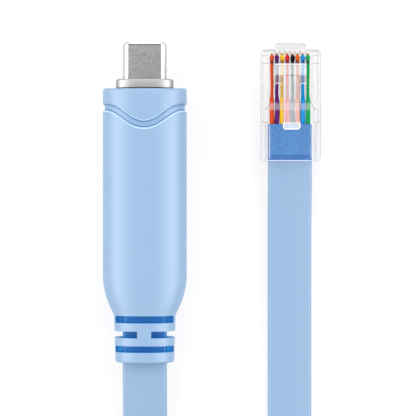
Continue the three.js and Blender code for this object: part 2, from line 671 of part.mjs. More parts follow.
const lead = new THREE.Group();

const adapter = new THREE.Group();
adapter.position.z = MID;
adapter.add(piece("adapter_housing", housing(), HOUSING_MATERIAL));
adapter.add(piece("type_c_shell", plugShell(), STEEL_MATERIAL));
adapter.add(piece("type_c_collar", collar(), STEEL_MATERIAL));
adapter.add(piece("type_c_liner", plugLiner(), LINER_MATERIAL));
for (let i = 0; i < DATA_CONTACT.count; i++) {
  const number = String(i + 1).padStart(2, "0");
  adapter.add(piece(`type_c_contact_upper_${number}`, plugContact(i, 1), GOLD_MATERIAL));
  adapter.add(piece(`type_c_contact_lower_${number}`, plugContact(i, -1), GOLD_MATERIAL));
}
lead.add(adapter);

const plug = new THREE.Group();
plug.position.set(PLUG_ACROSS, PLUG_REAR, 0);
plug.add(piece("modular_plug_body", plugBody(), CLEAR_MATERIAL));
plug.add(piece("plug_latch", latch(), CLEAR_MATERIAL));
for (let i = 0; i < WAYS; i++) {
  const core = new THREE.MeshStandardMaterial({ color: WIRE_COLOURS[i], roughness: 0.5, metalness: 0 });
  const insulated = piece(`wire_${i + 1}`, wire(), core);
  insulated.position.set((i - (WAYS - 1) / 2) * WAY_PITCH, 0, WIRE_HEIGHT);
  const contact = piece(`contact_blade_${i + 1}`, blade(), GOLD_MATERIAL);
  contact.position.x = insulated.position.x;
  plug.add(insulated, contact);
}
lead.add(plug);

lead.add(piece("cable_adapter_lead", cableStretch(ADAPTER_LEAD, 30), CABLE_MATERIAL));
lead.add(piece("cable_plug_lead", cableStretch(PLUG_LEAD, 50), CABLE_MATERIAL));
lead.add(piece("cable_hank", hank(), CABLE_MATERIAL));
lead.add(piece("hank_tie_left", tie(-1), TIE_MATERIAL));
lead.add(piece("hank_tie_right", tie(1), TIE_MATERIAL));

export default lead;
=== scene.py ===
import math

import bmesh
import bpy
from mathutils import Matrix, Vector


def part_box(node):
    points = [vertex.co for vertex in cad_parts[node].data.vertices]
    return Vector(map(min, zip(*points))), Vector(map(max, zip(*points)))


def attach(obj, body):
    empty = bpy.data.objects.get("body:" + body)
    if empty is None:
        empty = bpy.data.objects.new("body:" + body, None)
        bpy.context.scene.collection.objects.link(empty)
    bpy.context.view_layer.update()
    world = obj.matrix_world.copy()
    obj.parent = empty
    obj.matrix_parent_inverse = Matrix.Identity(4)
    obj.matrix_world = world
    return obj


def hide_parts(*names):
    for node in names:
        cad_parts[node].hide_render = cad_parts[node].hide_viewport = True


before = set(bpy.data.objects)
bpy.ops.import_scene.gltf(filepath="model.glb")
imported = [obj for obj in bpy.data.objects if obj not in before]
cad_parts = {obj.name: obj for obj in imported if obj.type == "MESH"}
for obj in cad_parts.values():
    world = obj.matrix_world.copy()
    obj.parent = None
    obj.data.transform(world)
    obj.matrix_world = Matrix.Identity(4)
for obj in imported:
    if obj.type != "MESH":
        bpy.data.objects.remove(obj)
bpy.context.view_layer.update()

# The camera looks straight down on the ends of the lead from about a third of a metre away.
# Its frame is 81.6 mm wide at the middle of the adapter.
mm = 0.001
scene = bpy.context.scene
camera_data = bpy.data.cameras.new("camera")
camera_data.lens = 152.3
camera_data.sensor_width = 36
camera = bpy.data.objects.new("camera", camera_data)
camera.location = (12.37 * mm, -1.16 * mm, 350 * mm)
scene.collection.objects.link(camera)
scene.camera = camera
scene.view_settings.view_transform = "Standard"

# A plain pale floor and soft studio light: a white room, dim overhead, with a long soft box on
# each side, which draws the two pale bands along the housing.
def new_material(name, **inputs):
    material = bpy.data.materials.new(name)
    material.use_nodes = True
    shader = material.node_tree.nodes["Principled BSDF"]
    for key, value in inputs.items():
        shader.inputs[key.replace("_", " ")].default_value = value
    return material, shader, material.node_tree


world = bpy.data.worlds.new("room")
world.use_nodes = True
room = world.node_tree
room.nodes["Background"].inputs["Color"].default_value = (1, 1, 1, 1)
direction = room.nodes.new("ShaderNodeTexCoord")
parts = room.nodes.new("ShaderNodeSeparateXYZ")
ceiling = room.nodes.new("ShaderNodeMapRange")
ceiling.interpolation_type = "SMOOTHSTEP"
ceiling.inputs["From Min"].default_value = 0.86
ceiling.inputs["From Max"].default_value = 0.98
ceiling.inputs["To Min"].default_value = 0.84
ceiling.inputs["To Max"].default_value = 0.2
room.links.new(direction.outputs["Generated"], parts.inputs["Vector"])
room.links.new(parts.outputs["Z"], ceiling.inputs["Value"])
room.links.new(ceiling.outputs["Result"], room.nodes["Background"].inputs["Strength"])
scene.world = world

floor_mesh = bmesh.new()
bmesh.ops.create_grid(floor_mesh, x_segments=1, y_segments=1, size=3)
floor_data = bpy.data.meshes.new("floor")
floor_mesh.to_mesh(floor_data)
floor_mesh.free()
floor = bpy.data.objects.new("floor", floor_data)
scene.collection.objects.link(floor)
floor_material, floor_shader, floor_tree = new_material(
    "floor", Base_Color=(0.3, 0.3, 0.3, 1), Roughness=0.9
)
floor_shader.inputs["Emission Color"].default_value = (1, 1, 1, 1)
floor_ray = floor_tree.nodes.new("ShaderNodeLightPath")
floor_glow = floor_tree.nodes.new("ShaderNodeMapRange")
floor_glow.inputs["To Min"].default_value = 0.5
floor_glow.inputs["To Max"].default_value = 0.66
floor_tree.links.new(floor_ray.outputs["Is Camera Ray"], floor_glow.inputs["Value"])
floor_tree.links.new(floor_glow.outputs["Result"], floor_shader.inputs["Emission Strength"])
floor_data.materials.append(floor_material)

SOFT_BOX_LEAN = math.radians(50)
SOFT_BOX_WIDTH = 0.74
SOFT_BOX_LENGTH = 1.2
SOFT_BOX_DISTANCE = 1.0
SOFT_BOX_POWERS = {0: 7.5, 180: 7.5, 90: 2.4}
for turn, power in SOFT_BOX_POWERS.items():
    box_data = bpy.data.lights.new("soft_box", "AREA")
    box_data.shape = "RECTANGLE"
    box_data.size = SOFT_BOX_WIDTH
    box_data.size_y = SOFT_BOX_LENGTH
    box_data.energy = power
    soft_box = bpy.data.objects.new("soft_box", box_data)
    swing = Matrix.Rotation(math.radians(turn), 4, "Z") @ Matrix.Rotation(SOFT_BOX_LEAN, 4, "Y")
    soft_box.matrix_world = swing @ Matrix.Translation((0, 0, SOFT_BOX_DISTANCE))
    scene.collection.objects.link(soft_box)

# Type-C plug shell: nickel-plated steel, folded round into a tube with half-round sides and a
# rolled mouth. It is pressed into the housing behind the collar.
SHELL_WALL = 0.3 * mm
ROLLED_EDGE = 0.4 * mm
# Width of the band of painted shade across the shell's face, behind the rolled mouth.
MOUTH_SHADE_WIDTH = 0.2 * mm
SHELL_SEGMENTS = 96


def loft(rings, segments, closed=False, shades=None):
    """A solid drawn as rings along Y. Each ring is a function from a turn about Y to a point."""
    bm = bmesh.new()
    shade_layer = bm.verts.layers.float.new("shade") if shades else None
    verts = bmesh.ops.create_circle(bm, segments=segments, radius=1)["verts"]
    half_step = Matrix.Rotation(math.pi / segments, 3, "Z")
    bmesh.ops.rotate(bm, verts=verts, cent=(0, 0, 0), matrix=half_step)
    loops, edges = [verts], bm.edges[:]
    first_edges = edges
    for _ in rings[1:]:
        grown = bmesh.ops.extrude_edge_only(bm, edges=edges)["geom"]
        verts = [item for item in grown if isinstance(item, bmesh.types.BMVert)]
        kept = set(verts)
        edges = [
            item for item in grown
            if isinstance(item, bmesh.types.BMEdge) and kept.issuperset(item.verts)
        ]
        loops.append(verts)
    for ring, verts in zip(rings, loops):
        for vert in verts:
            vert.co = ring(math.atan2(vert.co.x, vert.co.y))
    for shade, verts in zip(shades or [], loops):
        for vert in verts:
            vert[shade_layer] = shade
    if closed:
        bmesh.ops.bridge_loops(bm, edges=first_edges + edges)
    else:
        bmesh.ops.edgeloop_fill(bm, edges=first_edges)
        bmesh.ops.edgeloop_fill(bm, edges=edges)
    bmesh.ops.recalc_face_normals(bm, faces=bm.faces)
    return bm


def make_piece(name, bm, material, body, sharp=35):
    """Turns a mesh into a piece with smooth faces, sharp where they meet at more than the angle."""
    for face in bm.faces:
        face.smooth = True
    for edge in bm.edges:
        edge.smooth = len(edge.link_faces) == 2 and edge.calc_face_angle(0) < math.radians(sharp)
    data = bpy.data.meshes.new(name)
    bm.to_mesh(data)
    bm.free()
    piece = bpy.data.objects.new(name, data)
    scene.collection.objects.link(piece)
    data.materials.append(material)
    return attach(piece, body)


def rounded_ring(width, height, radius, y, z):
    """A ring with the outline of a rounded rectangle, across X and Z."""
    def ring(turn):
        across, up = math.sin(turn), math.cos(turn)
        x = math.copysign(width / 2 - radius, across) + radius * across
        return (x, y, z + math.copysign(height / 2 - radius, up) + radius * up)
    return ring


def noise_into(tree, socket, scale, low, high, detail=4, stretch=(1, 1, 1)):
    """Drives a socket with noise between two values, and gives the noise's own output."""
    place = tree.nodes.new("ShaderNodeTexCoord")
    mapping = tree.nodes.new("ShaderNodeMapping")
    mapping.inputs["Scale"].default_value = stretch
    noise = tree.nodes.new("ShaderNodeTexNoise")
    noise.inputs["Scale"].default_value = scale
    noise.inputs["Detail"].default_value = detail
    span = tree.nodes.new("ShaderNodeMapRange")
    span.inputs["From Min"].default_value = 0.3
    span.inputs["From Max"].default_value = 0.7
    span.inputs["To Min"].default_value = low
    span.inputs["To Max"].default_value = high
    tree.links.new(place.outputs["Object"], mapping.inputs["Vector"])
    tree.links.new(mapping.outputs["Vector"], noise.inputs["Vector"])
    tree.links.new(noise.outputs["Fac"], span.inputs["Value"])
    if socket:
        tree.links.new(span.outputs["Result"], socket)
    return noise.outputs["Fac"]


def add_bump(tree, shader, height, strength, distance):
    """Raises the surface by a texture's value."""
    bump = tree.nodes.new("ShaderNodeBump")
    bump.inputs["Strength"].default_value = strength
    bump.inputs["Distance"].default_value = distance
    tree.links.new(height, bump.inputs["Height"])
    tree.links.new(bump.outputs["Normal"], shader.inputs["Normal"])


def within(tree, axis, low, high):
    """One where the piece's own coordinate lies between two values, and nothing elsewhere."""
    place = tree.nodes.new("ShaderNodeTexCoord")
    parts = tree.nodes.new("ShaderNodeSeparateXYZ")
    test = tree.nodes.new("ShaderNodeMath")
    test.operation = "COMPARE"
    test.inputs[1].default_value = (low + high) / 2
    test.inputs[2].default_value = (high - low) / 2
    tree.links.new(place.outputs["Object"], parts.inputs["Vector"])
    tree.links.new(parts.outputs[axis], test.inputs[0])
    return test.outputs["Value"]


def joined(tree, operation, first, second):
    """Two values put together by one step of arithmetic."""
    step = tree.nodes.new("ShaderNodeMath")
    step.operation = operation
    for socket, value in zip(step.inputs, (first, second)):
        if isinstance(value, (int, float)):
            socket.default_value = value
        else:
            tree.links.new(value, socket)
    return step.outputs["Value"]


def mixed(tree, share, below, above):
    """Mixes two colours, each a fixed one or a node's, by a share from 0 to 1."""
    mix = tree.nodes.new("ShaderNodeMix")
    mix.data_type = "RGBA"
    tree.links.new(share, mix.inputs["Factor"])
    for socket, colour in ((mix.inputs[6], below), (mix.inputs[7], above)):
        if isinstance(colour, tuple):
            socket.default_value = (*colour, 1)
        else:
            tree.links.new(colour, socket)
    return mix.outputs[2]


shell_low, shell_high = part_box("type_c_shell")
shell_width = shell_high.x - shell_low.x
shell_height = shell_high.z - shell_low.z
shell_middle = (shell_high.z + shell_low.z) / 2


def round_sided_ring(width, height, y, z):
    """A ring with half-round sides and a flat top and bottom."""
    return rounded_ring(width, height, height / 2 - 0.02 * mm, y, z)


def shell_ring(inset, y, narrowing=0.0):
    width = shell_width - 2 * inset - 2 * narrowing
    return round_sided_ring(width, shell_height - 2 * inset, y, shell_middle)


nickel, nickel_shader, nickel_tree = new_material("nickel", Metallic=1, Roughness=0.3)
nickel_shader.inputs["Specular Tint"].default_value = (0.35, 0.35, 0.38, 1)
noise_into(nickel_tree, nickel_shader.inputs["Roughness"], 2600, 0.27, 0.36)
nickel_speckle = noise_into(nickel_tree, None, 2200, 0, 1, detail=2)
satin = mixed(nickel_tree, nickel_speckle, (0.64, 0.63, 0.65), (0.84, 0.835, 0.85))
face_half = (shell_width - shell_height) / 2
# A dark band painted across the flat face just behind the rolled mouth: painted shade, standing in for the
# dark reflection in the crease there.
mouth_shade_line = joined(
    nickel_tree, "MULTIPLY",
    within(nickel_tree, "Y", shell_high.y - ROLLED_EDGE - MOUTH_SHADE_WIDTH, shell_high.y - ROLLED_EDGE),
    within(nickel_tree, "X", -face_half - 0.25 * mm, face_half + 0.25 * mm),
)
nickel_tree.links.new(
    mixed(nickel_tree, mouth_shade_line, satin, (0.14, 0.115, 0.11)), nickel_shader.inputs["Base Color"]
)
# The rolled mouth, as depths into the wall, distances behind the tip and narrowing, in millimetres.
mouth = [
    (0.0, 0.62, 0.0), (0.01, 0.5, 0.01), (0.05, 0.38, 0.04), (0.09, 0.24, 0.09), (0.13, 0.12, 0.15),
    (0.18, 0.04, 0.22), (0.24, 0.0, 0.29), (SHELL_WALL / mm, 0.06, 0.3), (SHELL_WALL / mm, 0.5, 0.1),
]
shell_rings = [shell_ring(0, shell_low.y)]
for inset, back, narrowing in mouth:
    shell_rings.append(shell_ring(inset * mm, shell_high.y - back * mm, narrowing * mm))
shell_rings.append(shell_ring(SHELL_WALL, shell_low.y))
shell = make_piece("shell", loft(shell_rings, SHELL_SEGMENTS, closed=True), nickel, "lead")
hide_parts("type_c_shell")

# Liner: black glass-filled plastic, moulded to fill the shell, with the slot for the socket's
# tongue. It is snapped in with its contacts before the shell is closed.
def smooth_copy(node, name, material, body, width, segments=2, angle=30, added=None):
    """A piece with a node's own shape, its edges rounded and its flat faces whole again."""
    bm = bmesh.new()
    bm.from_mesh(bpy.data.objects[node].data)
    bmesh.ops.remove_doubles(bm, verts=bm.verts, dist=0.002 * mm)
    bmesh.ops.dissolve_limit(
        bm, angle_limit=math.radians(1), verts=bm.verts, edges=bm.edges, use_dissolve_boundaries=False
    )
    if added:
        added(bm)
    piece = make_piece(name, bm, material, body)
    rounding = piece.modifiers.new("rounding", "BEVEL")
    rounding.width = width
    rounding.segments = segments
    rounding.limit_method = "ANGLE"
    rounding.angle_limit = math.radians(angle)
    rounding.use_clamp_overlap = True
    shading = piece.modifiers.new("shading", "WEIGHTED_NORMAL")
    shading.keep_sharp = False
    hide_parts(node)
    return piece


liner_black, liner_shader, liner_tree = new_material("liner_black", Roughness=0.5)
liner_shader.inputs["Base Color"].default_value = (0.012, 0.012, 0.013, 1)
liner_speckle = noise_into(liner_tree, liner_shader.inputs["Roughness"], 4000, 0.42, 0.6)
add_bump(liner_tree, liner_shader, liner_speckle, 0.2, 0.01 * mm)
smooth_copy("type_c_liner", "liner", liner_black, "lead", 0.06 * mm)

# Contacts of the type-C plug: gold-plated copper strips, twelve on each side of the slot.
# They are stamped, plated and pressed into the liner.
gold, gold_shader, gold_tree = new_material("gold", Metallic=1, Roughness=0.25)
gold_shader.inputs["Base Color"].default_value = (0.86, 0.55, 0.17, 1)
gold_wear = noise_into(gold_tree, gold_shader.inputs["Roughness"], 3000, 0.18, 0.4, stretch=(1, 0.2, 1))
add_bump(gold_tree, gold_shader, gold_wear, 0.1, 0.01 * mm)
CONTACTS_A_SIDE = 12
for face in ("upper", "lower"):
    for number in range(1, CONTACTS_A_SIDE + 1):
        node = f"type_c_contact_{face}_{number:02d}"
        smooth_copy(node, f"contact_{face}_{number:02d}", gold, "lead", 0.03 * mm)

# Collar: a nickel-plated ring around the shell's root. It stops against the socket and closes
# the front of the moulding.
collar_low, collar_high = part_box("type_c_collar")
collar_width = collar_high.x - collar_low.x
collar_height = collar_high.z - collar_low.z
collar_middle = (collar_high.z + collar_low.z) / 2
COLLAR_GAP = 0.05 * mm
COLLAR_MOUTH_GAP = 0.15 * mm
COLLAR_MOUTH_DEPTH = 0.12 * mm
COLLAR_POWER = 3.2


def oval(width, height, power, turn):
    """A point on a squarish oval, from a plain ellipse at power 2 to a rectangle at a high one."""
    across, up = math.sin(turn), math.cos(turn)
    x = width / 2 * math.copysign(abs(across) ** (2 / power), across)
    return x, height / 2 * math.copysign(abs(up) ** (2 / power), up)


def collar_ring(inset, y):
    def ring(turn):
        x, z = oval(collar_width - 2 * inset, collar_height - 2 * inset, COLLAR_POWER, turn)
        return (x, y, collar_middle + z)
    return ring


collar_rings = [collar_ring(0, collar_low.y)]
for inset, back in ((0, 0.35), (0.04, 0.2), (0.13, 0.09), (0.27, 0.025), (0.42, 0)):
    collar_rings.append(collar_ring(inset * mm, collar_high.y - back * mm))
for gap, y in (
    (COLLAR_MOUTH_GAP, collar_high.y),
    (COLLAR_GAP, collar_high.y - COLLAR_MOUTH_DEPTH),
    (COLLAR_GAP, collar_low.y),
):
    collar_rings.append(round_sided_ring(shell_width + 2 * gap, shell_height + 2 * gap, y, shell_middle))
collar_metal, collar_shader, collar_tree = new_material("collar_metal", Metallic=1, Roughness=0.34)
collar_shader.inputs["Base Color"].default_value = (0.5, 0.49, 0.49, 1)
collar_shader.inputs["Specular Tint"].default_value = (0.35, 0.35, 0.38, 1)
collar_grain = noise_into(collar_tree, collar_shader.inputs["Roughness"], 1500, 0.43, 0.51)
add_bump(collar_tree, collar_shader, collar_grain, 0.12, 0.02 * mm)
collar = make_piece("collar", loft(collar_rings, SHELL_SEGMENTS, closed=True), collar_metal, "lead")
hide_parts("type_c_collar")

# Housing: pale blue plastic, moulded over the circuit board and the cable in one shot, with its
# slotted strain relief. A shallow wavy groove runs all the way round behind its front edge.
housing_low, housing_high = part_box("adapter_housing")
HOUSING_WIDTH = 16.4 * mm
HOUSING_THICKNESS = 10.4 * mm
HOUSING_MIDDLE = HOUSING_THICKNESS / 2
OVAL_POWER = 2.4
HOUSING_SEGMENTS = 144
RIM_RADIUS = 0.5 * mm
RIM_STEPS = 6
FRONT_DRAFT = 0.3 * mm
SHOULDER_LENGTH = 7.6 * mm
SHOULDER_STEPS = 14
SHOULDER_SWELL = 1.9
GROOVE_WIDTH = 1.3 * mm
GROOVE_FROM_FRONT = 3.85 * mm
WAVE_DROP = 3.4 * mm
WAVE_REACH = 7.5 * mm
REAR_WAVE_SPREAD = 1.15
REAR_WALL_STRETCH = 1.3
SMOOTHING = 14 * mm
SMOOTHING_STEPS = 8
RELIEF_LENGTH = 9.2 * mm
RELIEF_SIZES = [(12.05 * mm, 8.6 * mm), (11.5 * mm, 8.2 * mm)]
RELIEF_STEPS = 6
RELIEF_EDGE = 0.4 * mm
RELIEF_EDGE_STEPS = 4
housing_front = housing_high.y
relief_end = housing_low.y
relief_root = relief_end + RELIEF_LENGTH


def groove_wave(x, spread):
    reach = (min(abs(x), WAVE_REACH) / WAVE_REACH) ** spread
    return WAVE_DROP * (1 + math.cos(math.pi * reach)) / 2


def oval_ring(width, thickness, y, wave_share=0.0, draft=0.0, spread=1.0):
    """A ring with the housing's squarish oval outline. The wave and the draft carry it back."""
    def ring(turn):
        x, z = oval(width, thickness, OVAL_POWER, turn)
        back = wave_share * groove_wave(x, spread) + draft * abs(z) * 2 / HOUSING_THICKNESS
        return (x, y - back, HOUSING_MIDDLE + z)
    return ring


def body_ring(inset, y, wave_share=0.0, draft=0.0, spread=1.0):
    return oval_ring(HOUSING_WIDTH - 2 * inset, HOUSING_THICKNESS - 2 * inset, y, wave_share, draft, spread)


housing_rings = []
for step in range(RIM_STEPS + 1):
    turn = math.pi / 2 * step / RIM_STEPS
    inset = RIM_RADIUS * (1 - math.sin(turn))
    rim_y = housing_front - RIM_RADIUS * (1 - math.cos(turn))
    housing_rings.append(body_ring(inset, rim_y, draft=FRONT_DRAFT))
groove_middle = housing_front - GROOVE_FROM_FRONT
groove_start = groove_middle + GROOVE_WIDTH / 2
groove_stop = groove_middle - GROOVE_WIDTH / 2
for share in (0.25, 0.5, 0.75, 0.95):
    y = housing_front - RIM_RADIUS - share * (housing_front - RIM_RADIUS - groove_start)
    housing_rings.append(body_ring(0, y, share))
housing_shades = [0.0] * len(housing_rings)
# The groove's front wall, as depths, distances ahead of its edge in millimetres, and shades of painted
# light, from a painted highlight on the lip at -1 to painted shade in the deep blue corner at 1. Its rear
# wall is the same one reversed, with its lip's painted highlight brighter.
groove_profile = [
    (0.0, 0.24, 0.0), (0.0, 0.18, -0.6), (0.03, 0.05, -0.6), (0.1, -0.02, 0.3), (0.26, -0.07, 1.0),
    (0.34, -0.13, 1.0), (0.36, -0.22, 0.8), (0.36, -0.3, 0.14),
]
for depth, ahead, shade in groove_profile:
    housing_rings.append(body_ring(depth * mm, groove_start + ahead * mm, 1))
    housing_shades.append(shade)
for depth, ahead, shade in reversed(groove_profile):
    y = groove_stop - REAR_WALL_STRETCH * ahead * mm
    housing_rings.append(body_ring(depth * mm, y, 1, spread=REAR_WAVE_SPREAD))
    housing_shades.append(shade if shade > 0 else 1.6 * shade)
for step in range(1, SMOOTHING_STEPS + 1):
    share = step / SMOOTHING_STEPS
    ease = share * share * (3 - 2 * share)
    y = groove_stop - 0.4 * mm - SMOOTHING * share
    housing_rings.append(body_ring(0, y, 1 - ease, spread=REAR_WAVE_SPREAD))
for step in range(SHOULDER_STEPS + 1):
    share = 1 - step / SHOULDER_STEPS
    swell = 1 - (1 - share) ** SHOULDER_SWELL
    width = RELIEF_SIZES[0][0] + (HOUSING_WIDTH - RELIEF_SIZES[0][0]) * swell
    thickness = RELIEF_SIZES[0][1] + (HOUSING_THICKNESS - RELIEF_SIZES[0][1]) * swell
    housing_rings.append(oval_ring(width, thickness, relief_root + SHOULDER_LENGTH * share))
for step in range(1, RELIEF_STEPS):
    share = step / RELIEF_STEPS
    width, thickness = [a + (b - a) * share for a, b in zip(*RELIEF_SIZES)]
    housing_rings.append(oval_ring(width, thickness, relief_root - RELIEF_LENGTH * share))
for step in range(RELIEF_EDGE_STEPS + 1):
    turn = math.pi / 2 * step / RELIEF_EDGE_STEPS
    inset = RELIEF_EDGE * (1 - math.cos(turn))
    width, thickness = [size - 2 * inset for size in RELIEF_SIZES[1]]
    housing_rings.append(oval_ring(width, thickness, relief_end + RELIEF_EDGE * (1 - math.sin(turn))))
housing_shades += [0.0] * (len(housing_rings) - len(housing_shades))


def ramped(tree, value, stops):
    """A colour picked by a value from 0 to 1, between the stops."""
    ramp = tree.nodes.new("ShaderNodeValToRGB")
    for number, (place, colour) in enumerate(stops):
        elements = ramp.color_ramp.elements
        stop = elements[number] if number < 2 else elements.new(place)
        stop.position = place
        stop.color = (*colour, 1)
    tree.links.new(value, ramp.inputs["Fac"])
    return ramp.outputs["Color"]


pale_blue, pale_shader, pale_tree = new_material("pale_blue", Roughness=0.38)
# The housing's shade attribute paints light into its colour: a painted highlight on the groove's lips and
# painted shade in its corners.
shade = pale_tree.nodes.new("ShaderNodeAttribute")
shade.attribute_name = "shade"
shade_span = pale_tree.nodes.new("ShaderNodeMapRange")
shade_span.inputs["From Min"].default_value = -1
pale_tree.links.new(shade.outputs["Fac"], shade_span.inputs["Value"])
shade_stops = [(0.0, (0.44, 0.61, 0.76)), (0.5, (0.221, 0.35, 0.52)), (1.0, (0.045, 0.18, 0.44))]
shaded_blue = ramped(pale_tree, shade_span.outputs["Result"], shade_stops)
pale_shader.inputs["Specular IOR Level"].default_value = 1.0
pale_shader.inputs["Subsurface Weight"].default_value = 0.15
pale_shader.inputs["Subsurface Radius"].default_value = (0.6 * mm, 1.0 * mm, 1.6 * mm)
pale_shader.inputs["Subsurface Scale"].default_value = 1.0
pale_grain = noise_into(pale_tree, pale_shader.inputs["Roughness"], 2600, 0.36, 0.44)
add_bump(pale_tree, pale_shader, pale_grain, 0.12, 0.02 * mm)
housing_mesh = loft(housing_rings, HOUSING_SEGMENTS, shades=housing_shades)
housing = make_piece("housing", housing_mesh, pale_blue, "lead", sharp=60)

# The moulding tool's blades leave three slots in the strain relief: two cross its faces, and the
# one between them comes in from both sides. The cable shows in them.
SLOT_WIDTHS = [1.4 * mm, 1.3 * mm, 1.25 * mm]
RING_LENGTHS = [1.6 * mm, 1.55 * mm]
FACE_SLOT_REACH = 5.65 * mm
FACE_SLOT_FLOOR = 0.8 * mm
SIDE_SLOT_WEB = 1.35 * mm
BORE_WIDTH = 8.66 * mm
BORE_HEIGHT = 2.56 * mm
BORE_DEPTH = 0.5 * mm
SLOT_SKIN = 0.01 * mm
FIRST_SLOT_AT = 0.05 * mm
FAR_OUT = 12 * mm


def cutter_box(bm, x_range, y_range, z_range):
    """Adds a box to a mesh, by its ranges along the three axes, and gives its corners."""
    sizes = [high - low for low, high in (x_range, y_range, z_range)]
    middle = [(high + low) / 2 for low, high in (x_range, y_range, z_range)]
    place = Matrix.Translation(middle) @ Matrix.Diagonal((*sizes, 1))
    return bmesh.ops.create_cube(bm, size=1, matrix=place)["verts"]


def cut(piece, cutter):
    """Cuts a piece with a mesh and keeps the result as its own mesh."""
    data = bpy.data.meshes.new("cutter")
    cutter.to_mesh(data)
    cutter.free()
    tool = bpy.data.objects.new("cutter", data)
    scene.collection.objects.link(tool)
    boolean = piece.modifiers.new("cut", "BOOLEAN")
    boolean.operation = "DIFFERENCE"
    boolean.solver = "EXACT"
    boolean.object = tool
    shape = bpy.data.meshes.new_from_object(piece.evaluated_get(bpy.context.evaluated_depsgraph_get()))
    piece.modifiers.remove(boolean)
    old = piece.data
    piece.data = shape
    bpy.data.meshes.remove(old)
    bpy.data.objects.remove(tool)
    bpy.data.meshes.remove(data)


bore = bmesh.new()
cutter_box(
    bore,
    (-BORE_WIDTH / 2, BORE_WIDTH / 2),
    (relief_end - FAR_OUT, relief_root + BORE_DEPTH),
    (HOUSING_MIDDLE - BORE_HEIGHT / 2, HOUSING_MIDDLE + BORE_HEIGHT / 2),
)
cut(housing, bore)
slots = bmesh.new()
painted_slot_shade = 0.0
slot_front = relief_root - FIRST_SLOT_AT
for number, width in enumerate(SLOT_WIDTHS):
    reach = (slot_front - width, slot_front)
    in_slot = within(pale_tree, "Y", reach[0] - SLOT_SKIN, reach[1] + SLOT_SKIN)
    if number == 1:
        web = within(pale_tree, "X", -SIDE_SLOT_WEB + SLOT_SKIN, SIDE_SLOT_WEB - SLOT_SKIN)
        in_slot = joined(pale_tree, "GREATER_THAN", joined(pale_tree, "SUBTRACT", in_slot, web), 0.5)
        for side in (-1, 1):
            outward = sorted((side * SIDE_SLOT_WEB, side * FAR_OUT))
            cutter_box(slots, outward, reach, (-FAR_OUT, FAR_OUT * 2))
    else:
        inside = within(pale_tree, "X", -FACE_SLOT_REACH - SLOT_SKIN, FACE_SLOT_REACH + SLOT_SKIN)
        in_slot = joined(pale_tree, "MULTIPLY", in_slot, inside)
        for side in (-1, 1):
            upward = sorted((HOUSING_MIDDLE + side * FACE_SLOT_FLOOR, HOUSING_MIDDLE + side * FAR_OUT))
            cutter_box(slots, (-FACE_SLOT_REACH, FACE_SLOT_REACH), reach, upward)
    painted_slot_shade = joined(pale_tree, "MAXIMUM", in_slot, painted_slot_shade)
    if number < len(RING_LENGTHS):
        slot_front -= width + RING_LENGTHS[number]
cut(housing, slots)
# The slots' walls and floors are painted a deep saturated blue: painted shade, standing in for the dim
# bluish light deep inside them.
pale_tree.links.new(
    mixed(pale_tree, painted_slot_shade, shaded_blue, (0.0, 0.35, 0.74)),
    pale_shader.inputs["Base Color"],
)
edge_rounding = housing.modifiers.new("edge_rounding", "BEVEL")
edge_rounding.width = 0.17 * mm
edge_rounding.segments = 3
edge_rounding.limit_method = "ANGLE"
edge_rounding.angle_limit = math.radians(60)
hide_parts("adapter_housing")

# Wires in the modular plug: solid-colour insulation, pushed side by side into their grooves,
# where they are squeezed thinner in front.
WIRE_COLOURS = {
    "orange_red": (0.66, 0.062, 0.0),
    "purple": (0.105, 0.002, 0.15),
    "yellow": (1.0, 0.55, 0.0),
    "red": (0.75, 0.012, 0.006),
    "black": (0.001, 0.001, 0.001),
    "orange": (0.78, 0.11, 0.003),
    "blue": (0.0, 0.29, 0.72),
    "green": (0.0, 0.34, 0.085),
}
WIRE_RADIUS = 0.49 * mm
# Where each wire's band of painted shadow lies, in millimetres from the jacket.
WIRE_SHADOW_BAND = (11.9 * mm, 12.55 * mm)
WIRE_SWAY = 0.05 * mm
WIRE_SEGMENTS = 24
# The insulation's shares of its radius, at distances from the jacket in millimetres: full behind,
# squeezed thin under the blades, and full again at the front end.
WIRE_STATIONS = [
    (0.8, 0.0), (1, 0.08), (1, 2.4), (0.99, 4.2), (0.93, 4.8), (0.8, 5.2), (0.69, 5.6), (0.66, 6.2),
    (0.66, 8.0), (0.64, 10.0), (0.68, 11.4), (0.74, 12.1), (0.72, 12.45), (0.86, 12.75), (0.88, 13.2),
    (0.83, 13.4), (0.68, 13.54), (0.4, 13.63),
]
for number, (colour, (red, green, blue)) in enumerate(WIRE_COLOURS.items(), 1):
    wire_low, wire_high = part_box(f"wire_{number}")
    middle = (wire_low + wire_high) / 2
    lean = math.sin(number * 2.3) * WIRE_SWAY
    rings = []
    for share, y in WIRE_STATIONS:
        radius = WIRE_RADIUS * share
        base = rounded_ring(2 * radius, 2 * radius, radius * 0.98, wire_low.y + y * mm, middle.z)
        sway = middle.x + lean * math.sin(y * 0.9 + number)

        def placed(turn, base=base, sway=sway):
            x, y, z = base(turn)
            return (x + sway, y, z)

        rings.append(placed)
    insulation, wire_shader, wire_tree = new_material(f"insulation_{colour}", Roughness=0.35)
    # A band just behind each wire's front end is painted darker: a painted shadow across the wires.
    shadow_band = within(wire_tree, "Y", *[wire_low.y + reach for reach in WIRE_SHADOW_BAND])
    wire_tree.links.new(
        mixed(wire_tree, shadow_band, (red, green, blue), (0.35 * red, 0.35 * green, 0.45 * blue)),
        wire_shader.inputs["Base Color"],
    )
    wire_shader.inputs["Specular IOR Level"].default_value = 0.15
    wire_gloss = wire_shader.inputs["Roughness"]
    wire_grain = noise_into(wire_tree, wire_gloss, 1500, 0.32, 0.42, stretch=(1, 0.5, 1))
    add_bump(wire_tree, wire_shader, wire_grain, 0.05, 0.01 * mm)
    wire = make_piece(f"wire_{colour}", loft(rings, WIRE_SEGMENTS), insulation, "lead")
    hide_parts(f"wire_{number}")

